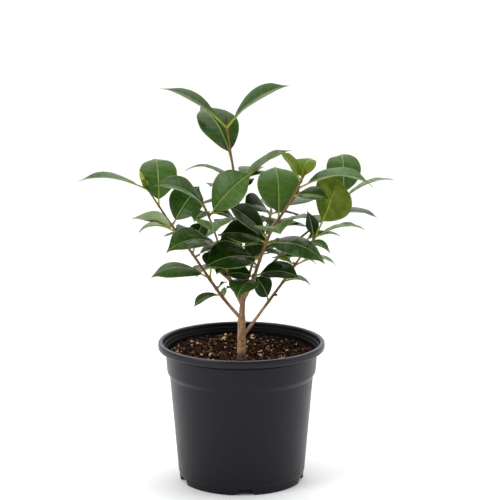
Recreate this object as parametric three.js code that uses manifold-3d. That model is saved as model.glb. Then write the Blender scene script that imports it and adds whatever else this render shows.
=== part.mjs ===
// Young camellia shrub in a black nursery pot. Millimetres, +Z up, the viewer on the -Y side.
// The origin is the middle of the pot's flat underside, on the ground.

import * as THREE from 'three';
import Module from 'manifold-3d';

// Pot
const POT_HEIGHT = 144.5;
const RIM_RADIUS = 85;
const RIM_INNER_RADIUS = 80.3;
const LIP_HEIGHT = 8;
const COLLAR_TOP_RADIUS = 77.6;
const COLLAR_FOOT_RADIUS = 76;
const STEP_HEIGHT = 108.8;
const STEP_RISE = 4.6;
const BODY_TOP_RADIUS = 73.3;
const BODY_FOOT_RADIUS = 64.9;
const FOOT_RADIUS = 64.1;
const WALL = 2;
const FLOOR_TOP = 8;
const DISC_RADIUS = 38;
const CHANNEL_HEIGHT = 6;
const NOTCH_COUNT = 5;
const NOTCH_FIRST_ANGLE = 3;
const NOTCH_FOOT_WIDTH = 22;
const NOTCH_TOP_WIDTH = 16;
const NOTCH_HEIGHT = 5.6;
const POT_SEGMENTS = 48;

// Compost and trunk
const SOIL_HEIGHT = 125;
const SOIL_RISE = 7.5;
const SOIL_RADIUS = 74.4;
const CLEARANCE = 0.3;
const TRUNK_SIDES = 12;

// Stems and leaves
const STEM_SIDES = 6;
const STEM_STEP = 14;
const STALK_RADIUS = 0.75;
const LEAF_THICKNESS = 1.1;
const LEAF_STATIONS = 8;
const BUD_SHAPE = 0.15;
const SPUR_RADIUS = 1.1;
const TWIG_RADIUS = 1;

// Sprays: length of a side twig and of its leaves, blade width as a share of leaf length, angle
// between a twig and its side leaves, radius of the balls that stand for a blade's room as a
// share of its width, and the room that the whole crown keeps to.
const TWIG_LENGTH = [14, 22];
const SPRAY_LEAF_LENGTH = [36, 54];
const SPRAY_LEAF_SHAPE = 0.56;
const SIDE_LEAF_ANGLE = 52;
const BALL_SHARE = 0.2;
const CROWN_MIDDLE = [-3, 6, 262];
const CROWN_REACH = [165, 98, 145];

// Middle line of each limb (right, back, up), radius at its foot and at its tip, the height where
// its bare stretch ends and its mass of leaves begins, and the lean of the bud at its tip. Sprays
// fill the side that faces away from the viewer: their number, the heights of the lowest and the
// highest, the way they face (degrees from the right), how far they swing to either side of it,
// and the seed of their rule.
const LIMBS = {
  left: {
    path: [[-1, 0, 168], [-21, -3, 193], [-49, -8, 236], [-68, -12, 264], [-94, -20, 306]],
    radii: [1.85, 0.8], bareTo: 185, bud: [-7, -3, 18],
  },
  right_low: {
    path: [[2, 0, 150], [14, 2, 166], [42, 10, 203], [57, 6, 226], [74, -10, 254]],
    radii: [1.9, 0.8], bareTo: 180, bud: [1, 0, 6],
  },
  right_front: {
    path: [[1.5, 0, 186], [11, -8, 208], [28, -24, 259], [48, -36, 294], [61, -45, 321]],
    radii: [2.1, 0.9], bareTo: 205, bud: [2, 0, 7],
  },
  leader: {
    path: [[1, 0, 188], [0, 3, 211], [-2, 9, 267], [-4.5, 11, 292], [-8.5, 12, 322], [-15.3, 14, 365]],
    radii: [2, 0.9], bareTo: 234, bud: [0, 0, 9],
    sprays: { count: 4, from: 240, to: 305, facing: 95, swing: 40, seed: 267 },
  },
  mid_left: {
    path: [[0, -1, 188], [-6, -2, 199], [-15, -7, 221], [-28, -15, 264], [-36, -19, 285]],
    radii: [1.5, 0.8], bareTo: 188, bud: [-2, 0, 6],
  },
  back_right: {
    path: [[1, 1, 190], [14, 22, 228], [30, 40, 267]],
    radii: [1.5, 0.8], bareTo: 206, bud: [1, 1, 6],
    sprays: { count: 5, from: 220, to: 264, facing: 60, swing: 40, seed: 2231 },
  },
  right_back: {
    path: [[2, 1, 190], [38, 26, 226], [76, 44, 256], [106, 52, 284]],
    radii: [1.6, 0.8], bareTo: 216, bud: [4, 1, 5],
    sprays: { count: 5, from: 222, to: 276, facing: 60, swing: 50, seed: 601 },
  },
  back_left: {
    path: [[0, 1, 182], [-14, 20, 206], [-30, 40, 238]],
    radii: [1.6, 0.8], bareTo: 202, bud: [-2, 2, 5],
    sprays: { count: 5, from: 204, to: 236, facing: 120, swing: 38, seed: 582 },
  },
};

// The leaves that face the viewer, one row each: limb, height of the joint, how far the tip
// reaches right, back and up from the joint, width of the blade, turn of its upper side to the
// front, arch, fold along the midrib (degrees), and length of the stalk.
const LEAVES = [
  ['leader', 361, -67, 6, 39, 23, 14, 46, 14, 15],
  ['leader', 361, 63, -12, 44, 35, 20, 48, 12, 13],
  ['leader', 321, -34, 34, 57, 45, 12, 70, 8, 17],
  ['leader', 295, 56, 20, 41, 31, -32, 44, 12, 7],
  ['leader', 293, -53, 15, 22, 20, -10, 100, 14, 7],
  ['leader', 240, 30, -8, 3, 37, 40, 55, 10, 5],
  ['leader', 243, -22, -5, 2, 26, 24, 50, 10, 4],
  ['mid_left', 276, 44, -4, 46, 42, 52, 40, 10, 9],
  ['mid_left', 284, -50, -22, 27, 35, 24, 70, 14, 7],
  ['mid_left', 279, 27, 18, -9, 29, 24, 60, 10, 7],
  ['mid_left', 282, -12, -16, -8, 18, 10, 60, 8, 3],
  ['mid_left', 268, 2, -38, -1, 41, 0, 60, 17, 7],
  ['mid_left', 247, -52, -27, -4, 36, 22, 80, 10, 7],
  ['mid_left', 240, -22, 6, -5, 22, 10, 60, 10, 4],
  ['mid_left', 221, -10, -10, -4, 12, 0, 50, 10, 2],
  ['mid_left', 200, -9, -6, 0, 7, 0, 50, 10, 2],
  ['left', 236, 12, 13, 32, 24, 10, 40, 10, 9],
  ['left', 304, -69, -5, 9, 22, 4, 48, 14, 12],
  ['left', 287, -4, 28, 43, 38, 0, 102, 8, 7],
  ['left', 266, 27, 19, 37, 36, 38, 50, 8, 7],
  ['left', 264, -41, -12, 11, 32, -28, 45, 10, 4],
  ['left', 259, -39, 13, -3, 22, -14, 75, 12, 7],
  ['left', 261, 15, 14, -2, 20, 0, 50, 10, 3],
  ['left', 210, -59, -12, 3, 36, 14, 88, -8, 10],
  ['left', 209, 5, 12, 28, 22, 0, 50, 10, 13],
  ['left', 193, -27, -6, -12, 15, 16, 78, 10, 4],
  ['left', 189, 1, -4, 13, 6, 0, 40, 10, 2],
  ['left', 199, 11, -3, 8, 8, 10, 50, 10, 2],
  ['right_front', 250, -46, -12, 11, 36, 30, 60, 8, 7],
  ['right_front', 254, -40, 2, 34, 36, 24, 40, 8, 7],
  ['right_front', 232, -55, -26, -3, 46, 25, 65, 8, 7],
  ['right_front', 249, 59, -12, -18, 37, 20, 80, -6, 5],
  ['right_front', 238, 20, 15, -4, 22, 10, 40, 8, 7],
  ['right_front', 214, 45, -10, 0, 34, 20, 65, 8, 7],
  ['right_front', 210, -16, -30, -12, 31, 4, 60, 8, 4],
  ['right_front', 213, -28, -3, 3, 24, 30, 50, 10, 3],
  ['right_front', 264, 8, -37, 3, 44, 12, 60, 17, 7],
  ['right_front', 276, -3, 26, 48, 43, 0, 100, 8, 8],
  ['right_front', 301, 35, -9, -2, 25, 22, 46, 8, 4],
  ['right_front', 289, 21, 60, 0, 33, 20, 40, 12, 4],
  ['right_front', 308, 75, 5, 1, 30, 10, 76, 14, 12],
  ['right_front', 316, -21, -4, 30, 22, 30, 30, 12, 6],
  ['right_front', 316, 10, 14, 21, 29, 0, 70, 10, 5],
  ['right_low', 184, -14, -4, 27, 25, 62, 45, 8, 6],
  ['right_low', 204, 28, -6, -4, 24, -25, 80, 8, 8],
  ['right_low', 222, -24, 4, 6, 22, 0, 40, 8, 4],
  ['right_low', 221, 43, 0, 0, 26, -20, 75, 8, 7],
  ['right_low', 253, 20, -28, 69, 48, -75, 40, 6, 20],
  ['right_low', 253, 52, -3, 8, 26, -8, 64, 12, 9],
  ['right_low', 251, -6, 6, 28, 18, 0, 30, 8, 4],
  ['right_back', 283, 52, 6, 18, 28, -12, 45, 12, 7],
  ['right_back', 283, -1, 22, 42, 36, 0, 116, 8, 7],
  ['back_right', 266, -28, -28, 13, 36, 30, 84, 10, 7],
  ['back_right', 212, -32, 7, 0, 30, 28, 55, 10, 3],
  ['back_left', 206, 23, 9, 3, 25, 10, 50, 10, 3],
];

// Short stubs where a side shoot was cut: limb, height, and reach to the right, back and up.
const SPURS = [
  ['left', 233, 5, -2, 3], ['right_low', 190, 4, -2, 1], ['right_front', 224, -3, -4, 5],
];

const wasm = await Module();
wasm.setup();
const UP = new THREE.Vector3(0, 0, 1);
const radians = THREE.MathUtils.degToRad;

// Numbers between two limits that look random and are the same in every build.
function seededNumbers(seed) {
  let state = seed;
  return ([low, high]) => {
    state = (state * 16807) % 2147483647;
    return low + ((high - low) * state) / 2147483647;
  };
}

// Turns rings of points into one closed solid, with a flat foot and a point or a flat end.
function loft(rings, tip) {
  const sides = rings[0].length;
  const points = rings.flat();
  const faces = [];
  for (let i = 0; i + 1 < rings.length; i += 1) {
    for (let k = 0; k < sides; k += 1) {
      const a = i * sides + k;
      const b = i * sides + ((k + 1) % sides);
      faces.push([a, b, b + sides], [a, b + sides, a + sides]);
    }
  }
  for (let k = 1; k + 1 < sides; k += 1) {
    faces.push([0, k + 1, k]);
  }
  const last = (rings.length - 1) * sides;
  if (tip) {
    points.push(tip);
    for (let k = 0; k < sides; k += 1) {
      faces.push([last + k, last + ((k + 1) % sides), points.length - 1]);
    }
  } else {
    for (let k = 1; k + 1 < sides; k += 1) {
      faces.push([last, last + k, last + k + 1]);
    }
  }
  return closedSolid(points, faces);
}

// Makes the solid, with its faces turned outward.
function closedSolid(points, faces) {
  let volume = 0;
  for (const [a, b, c] of faces) {
    volume += points[a].dot(new THREE.Vector3().crossVectors(points[b], points[c]));
  }
  const outward = volume > 0 ? faces : faces.map(([a, b, c]) => [a, c, b]);
  const vertProperties = new Float32Array(points.flatMap((p) => [p.x, p.y, p.z]));
  const triVerts = new Uint32Array(outward.flat());
  return new wasm.Manifold(new wasm.Mesh({ numProp: 3, vertProperties, triVerts }));
}

// A closed profile of [radius, height] turned about the upright axis.
function turned(profile, segments, lift = () => 0) {
  const points = [];
  const faces = [];
  const rows = profile.map(([radius, height]) => {
    const count = radius === 0 ? 1 : segments;
    const row = [];
    for (let k = 0; k < count; k += 1) {
      const angle = (2 * Math.PI * k) / segments;
      const x = radius * Math.cos(angle);
      const y = radius * Math.sin(angle);
      row.push(points.length);
      points.push(new THREE.Vector3(x, y, height + lift(x, y, radius, height)));
    }
    return row;
  });
  for (let i = 0; i + 1 < rows.length; i += 1) {
    for (let k = 0; k < segments; k += 1) {
      const next = (k + 1) % segments;
      const [low, high] = [rows[i], rows[i + 1]];
      if (low.length > 1) {
        faces.push([low[k], low[next], high[high.length > 1 ? next : 0]]);
      }
      if (high.length > 1) {
        faces.push([low[low.length > 1 ? k : 0], high[next], high[k]]);
      }
    }
  }
  return closedSolid(points, faces);
}

// Joins equal corners of a geometry and makes a solid of it.
function solidOf(geometry) {
  const flat = geometry.index ? geometry.toNonIndexed() : geometry;
  const position = flat.attributes.position;
  const seen = new Map();
  const points = [];
  const ids = [];
  for (let i = 0; i < position.count; i += 1) {
    const p = new THREE.Vector3().fromBufferAttribute(position, i);
    const key = `${p.x.toFixed(4)},${p.y.toFixed(4)},${p.z.toFixed(4)}`;
    if (!seen.has(key)) {
      seen.set(key, points.length);
      points.push(p);
    }
    ids.push(seen.get(key));
  }
  const faces = [];
  for (let i = 0; i < ids.length; i += 3) {
    faces.push([ids[i], ids[i + 1], ids[i + 2]]);
  }
  return closedSolid(points, faces);
}

// Pot: a flat middle disc and a notched foot ring with a drainage channel between them, a
// tapered body, a step out to the collar and a rolled lip.
const potProfile = [
  [0, 0], [DISC_RADIUS, 0], [DISC_RADIUS + 2, CHANNEL_HEIGHT], [57.8, CHANNEL_HEIGHT], [59.6, 0],
  [FOOT_RADIUS - 1.3, 0], [FOOT_RADIUS - 0.5, 0.9], [FOOT_RADIUS, 8.2], [BODY_FOOT_RADIUS, 9.4],
  [BODY_TOP_RADIUS, STEP_HEIGHT], [COLLAR_FOOT_RADIUS, STEP_HEIGHT + STEP_RISE],
  [COLLAR_TOP_RADIUS, POT_HEIGHT - LIP_HEIGHT - 1],
  [RIM_RADIUS - 1.4, POT_HEIGHT - LIP_HEIGHT], [RIM_RADIUS, POT_HEIGHT - LIP_HEIGHT + 1.4],
  [RIM_RADIUS, POT_HEIGHT - 1.4], [RIM_RADIUS - 1, POT_HEIGHT],
  [RIM_INNER_RADIUS + 1, POT_HEIGHT], [RIM_INNER_RADIUS, POT_HEIGHT - 1],
  [RIM_INNER_RADIUS - 0.7, POT_HEIGHT - 4.4], [COLLAR_TOP_RADIUS, POT_HEIGHT - 5],
  [COLLAR_TOP_RADIUS - 0.5, POT_HEIGHT - 7.2], [COLLAR_TOP_RADIUS - WALL + 0.2, POT_HEIGHT - 8.2],
  [COLLAR_FOOT_RADIUS - WALL + 0.2, STEP_HEIGHT + STEP_RISE - 0.3],
  [BODY_TOP_RADIUS - WALL + 0.1, STEP_HEIGHT - 0.4], [BODY_FOOT_RADIUS - WALL, FLOOR_TOP],
  [0, FLOOR_TOP],
];
let potSolid = turned(potProfile, POT_SEGMENTS);
for (let k = 0; k < NOTCH_COUNT; k += 1) {
  const shape = new THREE.Shape([
    new THREE.Vector2(-NOTCH_FOOT_WIDTH / 2, -1), new THREE.Vector2(NOTCH_FOOT_WIDTH / 2, -1),
    new THREE.Vector2(NOTCH_TOP_WIDTH / 2, NOTCH_HEIGHT),
    new THREE.Vector2(-NOTCH_TOP_WIDTH / 2, NOTCH_HEIGHT),
  ]);
  const block = new THREE.ExtrudeGeometry(shape, { depth: 24, bevelEnabled: false });
  block.rotateX(Math.PI / 2);
  block.translate(0, -(DISC_RADIUS + 8), 0);
  block.rotateZ(radians(NOTCH_FIRST_ANGLE + (360 / NOTCH_COUNT) * k));
  potSolid = potSolid.subtract(solidOf(block));
}

// Compost: fills the pot to just under the inner ring of its collar. The bed is a lumpy bowl, level
// at the trunk and higher towards the wall.
function soilLift(x, y, radius, height) {
  if (height < SOIL_HEIGHT || radius < 12) {
    return 0;
  }
  const bowl = SOIL_RISE * (radius / COLLAR_FOOT_RADIUS) ** 2.2;
  const edge = Math.min(1, (COLLAR_FOOT_RADIUS - radius) / 12);
  const lumps = Math.sin(x / 6.1 + 1) * Math.cos(y / 7.3) + 0.6 * Math.sin(x / 3.7 - y / 4.9);
  return bowl + edge * 0.9 * lumps;
}
const bedRings = [SOIL_RADIUS, 68, 58, 47, 36, 25, 11, 0].map((radius) => [radius, SOIL_HEIGHT]);
const soilSolid = turned([
  [0, FLOOR_TOP + CLEARANCE], [BODY_FOOT_RADIUS - WALL - CLEARANCE - 0.1, FLOOR_TOP + CLEARANCE],
  [BODY_TOP_RADIUS - WALL - CLEARANCE, STEP_HEIGHT - 0.6],
  [COLLAR_FOOT_RADIUS - WALL - CLEARANCE, STEP_HEIGHT + STEP_RISE], [SOIL_RADIUS, SOIL_HEIGHT - 1],
  ...bedRings,
], POT_SEGMENTS, soilLift);

// Rings of a round limb about a line of centres.
function limbRings(centres, radii, sides) {
  return centres.map((centre, i) => {
    const ahead = centres[Math.min(i + 1, centres.length - 1)];
    const behind = centres[Math.max(i - 1, 0)];
    const along = ahead.clone().sub(behind).normalize();
    const across = new THREE.Vector3(0, 1, 0).cross(along).normalize();
    const third = along.clone().cross(across);
    const ring = [];
    for (let k = 0; k < sides; k += 1) {
      const angle = (2 * Math.PI * k) / sides;
      ring.push(centre.clone().addScaledVector(across, radii[i] * Math.cos(angle))
        .addScaledVector(third, radii[i] * Math.sin(angle)));
    }
    return ring;
  });
}

// Trunk: root flare at the compost, a slow taper, the ring of an old cut, then a slimmer neck
// that swells into the fork.
const TRUNK_SECTIONS = [
  [0, SOIL_HEIGHT + CLEARANCE, 4.9], [0, 127.5, 4.4], [0, 133, 4.2], [0, 148, 4.1], [0.2, 161, 3.9],
  [0.2, 164.5, 4.2], [0.3, 168, 3.7], [0.5, 174, 3], [0.9, 182, 2.8], [1.3, 189, 3.1], [1.5, 193, 2.5],
];
function trunkSolid(extra) {
  const centres = TRUNK_SECTIONS.map(([x, z]) => new THREE.Vector3(x, 0, z));
  centres[centres.length - 1].z += extra;
  return loft(limbRings(centres, TRUNK_SECTIONS.map((section) => section[2] + extra), TRUNK_SIDES));
}

function limbCurve(limb) {
  const points = limb.path.map((p) => new THREE.Vector3(...p));
  return new THREE.CatmullRomCurve3(points, false, 'catmullrom', 0.5);
}

// Place along a limb's line at a given height, from 0 at its foot to 1 at its tip.
function shareAt(curve, height) {
  let low = 0;
  let high = 1;
  for (let i = 0; i < 40; i += 1) {
    const middle = (low + high) / 2;
    if (curve.getPoint(middle).z < height) {
      low = middle;
    } else {
      high = middle;
    }
  }
  return (low + high) / 2;
}

// A stretch of a limb between two places on its line.
function stretch(limb, curve, from, to, extra = 0) {
  const length = curve.getPoint(from).distanceTo(curve.getPoint(to));
  const count = Math.max(2, Math.ceil(length / STEM_STEP));
  const centres = [];
  const radii = [];
  for (let i = 0; i <= count; i += 1) {
    const share = from + ((to - from) * i) / count;
    centres.push(curve.getPoint(share));
    radii.push(limb.radii[0] + (limb.radii[1] - limb.radii[0]) * share + extra);
  }
  return loft(limbRings(centres, radii, STEM_SIDES));
}

// Half width of a blade, as a share of its widest, from its foot (0) to its tip (1).
function bladeOutline(u) {
  const past = Math.max(0, (u - 0.7) / 0.3);
  return Math.sin(Math.PI * u ** 0.93) ** 0.86 * (1 - 0.6 * past * past * (3 - 2 * past));
}

// Middle line of an arched leaf: [along, above] from its joint to its tip.
function midline(chord, arch) {
  const steps = 40;
  const points = [[0, 0]];
  for (let i = 0; i < steps; i += 1) {
    const angle = radians(arch) * (0.5 - ((i + 0.5) / steps) ** 1.4);
    const [along, above] = points[i];
    points.push([along + Math.cos(angle), above + Math.sin(angle)]);
  }
  const [endAlong, endAbove] = points[steps];
  const reach = Math.hypot(endAlong, endAbove);
  const [c, s] = [endAlong / reach, endAbove / reach];
  const scale = chord / reach;
  return points.map(([x, y]) => [(x * c + y * s) * scale, (y * c - x * s) * scale]);
}

// One leaf with its stalk, rooted in the middle of its stem.
function leafSolid(joint, [right, back, up, width, turn, arch, fold, stalk]) {
  const reach = new THREE.Vector3(right, back, up);
  const chord = reach.length();
  const along = reach.clone().normalize();
  const above = UP.clone().addScaledVector(along, -along.z).normalize();
  const toFront = along.clone().cross(above);
  if (toFront.y > 0) {
    toFront.negate();
  }
  const lift = above.clone().multiplyScalar(Math.cos(radians(turn)))
    .addScaledVector(toFront, Math.sin(radians(turn)));
  const across = along.clone().cross(lift);
  const line = midline(chord, arch);
  const steps = line.length - 1;
  const length = Math.hypot(line[1][0] - line[0][0], line[1][1] - line[0][1]) * steps;
  const foldAngle = radians(fold);

  const at = (share) => {
    const place = share * steps;
    const i = Math.min(Math.floor(place), steps - 1);
    const [x0, y0] = line[i];
    const [x1, y1] = line[i + 1];
    const mix = place - i;
    const slope = new THREE.Vector2(x1 - x0, y1 - y0).normalize();
    return {
      centre: joint.clone().addScaledVector(along, x0 + (x1 - x0) * mix)
        .addScaledVector(lift, y0 + (y1 - y0) * mix),
      normal: lift.clone().multiplyScalar(slope.x).addScaledVector(along, -slope.y),
    };
  };
  const section = (share, half, thick, bend) => {
    const { centre, normal } = at(share);
    const wing = half * Math.sin(bend);
    const side = half * Math.cos(bend);
    return [
      centre.clone().addScaledVector(across, side).addScaledVector(normal, wing),
      centre.clone().addScaledVector(normal, thick / 2),
      centre.clone().addScaledVector(across, -side).addScaledVector(normal, wing),
      centre.clone().addScaledVector(normal, -thick / 2),
    ];
  };
  const stalkShare = stalk / length;
  const rings = [
    section(0, STALK_RADIUS, STALK_RADIUS * 2, 0),
    section(stalkShare, STALK_RADIUS, STALK_RADIUS * 2, 0),
  ];
  for (let i = 1; i < LEAF_STATIONS; i += 1) {
    const u = i / LEAF_STATIONS;
    const share = stalkShare + (1 - stalkShare) * u;
    rings.push(section(share, (bladeOutline(u) * width) / 2, LEAF_THICKNESS, foldAngle));
  }
  return loft(rings, at(1).centre);
}

// A pointed bud that carries a shoot on past its tip.
function budSolid(limb, curve) {
  const tip = curve.getPoint(1);
  const lean = new THREE.Vector3(...limb.bud);
  const along = lean.clone().normalize();
  const foot = tip.clone().addScaledVector(along, -1.5);
  const centres = [0, 0.3, 0.65].map((share) => tip.clone().addScaledVector(lean, share));
  centres[0] = foot;
  const radius = BUD_SHAPE * lean.length();
  const rings = limbRings(centres, [0.7, radius, radius * 0.7], STEM_SIDES);
  return loft(rings, tip.clone().add(lean));
}

// A short round twig between two points.
function twigSolid(foot, end, radius) {
  return loft(limbRings([foot, end], [radius, radius * 0.8], STEM_SIDES));
}

// A step of this length on a bearing (degrees from the right) and a climb (degrees).
function heading(bearing, climb, length) {
  const step = new THREE.Vector3(length * Math.cos(radians(climb)), 0, length * Math.sin(radians(climb)));
  return step.applyAxisAngle(UP, radians(bearing));
}

// Points along a straight line, about 6 mm apart.
function pointsAlong(foot, reach) {
  const count = Math.ceil(reach.length() / 6);
  return Array.from({ length: count }, (_, k) => foot.clone().addScaledVector(reach, (k + 1) / count));
}

function inCrown(point) {
  const off = ['x', 'y', 'z'].map((axis, k) => (point[axis] - CROWN_MIDDLE[k]) / CROWN_REACH[k]);
  return Math.hypot(...off) < 1;
}

// The room already taken: a row of balls along every limb and every leaf that has a row.
function takenRoom() {
  const room = [];
  for (const [name, limb] of Object.entries(LIMBS)) {
    const curve = limbCurve(limb);
    room.push({ name, points: curve.getPoints(40), half: 3 });
    for (const [owner, height, right, back, up, width] of LEAVES) {
      if (owner === name) {
        const joint = curve.getPoint(shareAt(curve, height));
        const points = pointsAlong(joint, new THREE.Vector3(right, back, up));
        room.push({ name, points, half: width * BALL_SHARE });
      }
    }
  }
  return room;
}

// Grows a limb's sprays by the seeded rule. Twigs stand by turns to either side of the way they
// face, and each carries two side leaves and one at its tip. What would leave the crown or touch
// another limb or mass is skipped.
function growSprays(name, room) {
  const { count, from, to, facing, swing, seed } = LIMBS[name].sprays;
  const curve = limbCurve(LIMBS[name]);
  const vary = seededNumbers(seed);
  const fits = (foot, reach, half) => {
    const points = pointsAlong(foot, reach);
    const free = points.every((point) => room.every((other) => other.name === name
      || other.points.every((near) => near.distanceTo(point) > half + other.half)));
    if (free && inCrown(points[points.length - 1])) {
      room.push({ name, points, half });
      return true;
    }
    return false;
  };
  const twigs = [];
  const leaves = [];
  for (let k = 0; k < count; k += 1) {
    const foot = curve.getPoint(shareAt(curve, from + ((to - from) * k) / (count - 1)));
    const bearing = facing + (k % 2 === 0 ? 1 : -1) * swing * vary([0.3, 1]);
    const reach = heading(bearing, vary([5, 35]), vary(TWIG_LENGTH));
    const grown = fits(foot, reach, TWIG_RADIUS);
    if (grown) {
      twigs.push([foot, foot.clone().add(reach)]);
    }
    for (const [share, side] of [[0.35, 1], [0.7, -1], [1, 0]]) {
      const length = vary(SPRAY_LEAF_LENGTH);
      const width = length * SPRAY_LEAF_SHAPE;
      const way = heading(bearing + side * SIDE_LEAF_ANGLE, vary([-25, 20]), length);
      const joint = foot.clone().addScaledVector(reach, share * 0.97);
      if (grown && fits(joint, way, width * BALL_SHARE)) {
        leaves.push([joint, [way.x, way.y, way.z, width, 0, 50, 10, 6]]);
      }
    }
  }
  return { twigs, leaves };
}

// The largest piece of a solid: drops loose scraps and fills sealed hollows.
function wholePiece(solid) {
  const pieces = solid.decompose();
  return pieces.reduce((best, piece) => (piece.volume() > best.volume() ? piece : best));
}

const group = new THREE.Group();
group.name = 'potted_camellia_shrub';

function material(name, color, roughness) {
  const made = new THREE.MeshStandardMaterial({ color, roughness, metalness: 0 });
  made.name = name;
  return made;
}

function addPart(name, solid, look) {
  const { vertProperties, triVerts } = solid.getMesh();
  const geometry = new THREE.BufferGeometry();
  geometry.setAttribute('position', new THREE.BufferAttribute(new Float32Array(vertProperties), 3));
  geometry.setIndex([...triVerts]);
  geometry.computeVertexNormals();
  const mesh = new THREE.Mesh(geometry, look);
  mesh.name = name;
  group.add(mesh);
}

addPart('pot', potSolid, material('black_plastic', 0x2b2a2d, 0.45));
addPart('compost', soilSolid, material('dark_compost', 0x33241a, 0.95));
addPart('trunk', trunkSolid(0), material('trunk_bark', 0x8b6a4d, 0.85));

// Every limb is cut clear of the trunk and of the limbs before it.
let taken = trunkSolid(CLEARANCE);
for (const [name, limb] of Object.entries(LIMBS)) {
  const curve = limbCurve(limb);
  const bareEnd = shareAt(curve, limb.bareTo);
  if (bareEnd > 0.001) {
    const bare = wholePiece(stretch(limb, curve, 0, bareEnd).subtract(taken));
    addPart(`${name}_bough`, bare, material(`${name}_bark`, 0x7d5a41, 0.8));
    taken = taken.add(stretch(limb, curve, 0, bareEnd, CLEARANCE));
  }
}

// Every mass grows from its bough's tip, or from the trunk where it has no bare stretch.
const room = takenRoom();
for (const [name, limb] of Object.entries(LIMBS)) {
  const curve = limbCurve(limb);
  const bareEnd = shareAt(curve, limb.bareTo);
  const gap = CLEARANCE / curve.getLength();
  const stem = stretch(limb, curve, bareEnd > 0.001 ? bareEnd + gap : 0, 1);
  const parts = [stem, budSolid(limb, curve)];
  for (const [owner, height, ...sizes] of LEAVES) {
    if (owner === name) {
      parts.push(leafSolid(curve.getPoint(shareAt(curve, height)), sizes));
    }
  }
  for (const [owner, height, ...reach] of SPURS) {
    if (owner === name) {
      const foot = curve.getPoint(shareAt(curve, height));
      parts.push(twigSolid(foot, foot.clone().add(new THREE.Vector3(...reach)), SPUR_RADIUS));
    }
  }
  if (limb.sprays) {
    const { twigs, leaves } = growSprays(name, room);
    parts.push(...twigs.map(([foot, end]) => twigSolid(foot, end, TWIG_RADIUS)));
    parts.push(...leaves.map(([joint, sizes]) => leafSolid(joint, sizes)));
  }
  const mass = wholePiece(wasm.Manifold.union(parts).subtract(taken));
  addPart(`${name}_leaves`, mass, material(`${name}_foliage`, 0x2f5a2b, 0.4));
}

export default group;
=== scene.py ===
# %% [markdown]
# # A young camellia in its pot
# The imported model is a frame: a pot, its compost, the trunk, the bare boughs, and one mass of
# leaves for each limb. Every piece made below stands for one of those solids and keeps its place,
# so the finished plant is as large as the model and grows from the same points.

# %% Load the frame
import math
import random

import bmesh
import bpy
from mathutils import Matrix, Vector, noise


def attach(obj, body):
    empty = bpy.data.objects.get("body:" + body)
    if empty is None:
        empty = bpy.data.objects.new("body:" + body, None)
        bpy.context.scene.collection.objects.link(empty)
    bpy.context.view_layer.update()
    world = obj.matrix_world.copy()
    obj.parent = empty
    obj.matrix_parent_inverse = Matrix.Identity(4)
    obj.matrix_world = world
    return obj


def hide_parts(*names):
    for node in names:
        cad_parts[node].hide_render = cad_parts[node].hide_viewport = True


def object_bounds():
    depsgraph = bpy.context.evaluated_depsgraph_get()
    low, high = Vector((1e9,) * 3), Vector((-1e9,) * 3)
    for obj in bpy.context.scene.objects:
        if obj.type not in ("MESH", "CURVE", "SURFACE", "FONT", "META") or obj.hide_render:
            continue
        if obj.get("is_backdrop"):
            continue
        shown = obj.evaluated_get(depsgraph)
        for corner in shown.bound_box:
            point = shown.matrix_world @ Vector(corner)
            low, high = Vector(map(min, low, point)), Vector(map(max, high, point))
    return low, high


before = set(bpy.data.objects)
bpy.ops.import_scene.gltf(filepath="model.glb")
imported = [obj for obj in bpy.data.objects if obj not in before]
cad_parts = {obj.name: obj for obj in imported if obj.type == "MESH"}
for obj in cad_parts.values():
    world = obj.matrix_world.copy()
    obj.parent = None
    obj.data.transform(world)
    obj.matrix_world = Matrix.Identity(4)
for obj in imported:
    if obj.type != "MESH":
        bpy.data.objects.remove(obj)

model_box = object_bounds()
random.seed(4217)
MM = 0.001
print("model box, mm:", [[round(v / MM, 1) for v in corner] for corner in model_box])

# %% [markdown]
# ## Camera
# A product picture is taken from a little above, with a long lens, so that the pot's rim shows as
# a slim oval and its sides hardly lean in. A short lens would swell the pot. The rim's oval is
# 0.245 as high as it is wide, which puts the camera about 14 degrees above it.

# %% Camera
view = bpy.data.cameras.new("view")
view.lens = 140.96
view.sensor_width = 36
camera = bpy.data.objects.new("camera", view)
camera.location = (0.0087, -1.939, 0.6332)
camera.rotation_euler = (math.radians(78.5), 0, 0)
bpy.context.collection.objects.link(camera)
bpy.context.scene.camera = camera
print("camera at", [round(v, 3) for v in camera.location])

# %% [markdown]
# ## Light and floor
# The picture has hardly any shadow: white all round, one large soft light high on the left and a
# weaker one on the right, which draw the two grey streaks on the pot and the cool shine on the
# leaves. A bright surround and soft area lights do the same, one of them behind on the backdrop.

# %% Light
bpy.context.scene.view_settings.view_transform = "Standard"


def white_surround():
    """White behind and overhead, dimmer on the viewer's side, so that black plastic stays black."""
    surround = bpy.data.worlds.new("surround")
    surround.use_nodes = True
    tree = surround.node_tree
    place = tree.nodes.new("ShaderNodeTexCoord")
    parts = tree.nodes.new("ShaderNodeSeparateXYZ")
    level = tree.nodes.new("ShaderNodeMapRange")
    level.interpolation_type = "SMOOTHSTEP"
    limits = {"From Min": -0.75, "From Max": 0.35, "To Min": 0.3, "To Max": 1.02}
    for name, value in limits.items():
        level.inputs[name].default_value = value
    backdrop = tree.nodes["Background"]
    backdrop.inputs["Color"].default_value = (0.985, 0.99, 1, 1)
    tree.links.new(place.outputs["Generated"], parts.inputs["Vector"])
    tree.links.new(parts.outputs["Y"], level.inputs["Value"])
    tree.links.new(level.outputs["Result"], backdrop.inputs["Strength"])
    bpy.context.scene.world = surround


white_surround()
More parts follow.
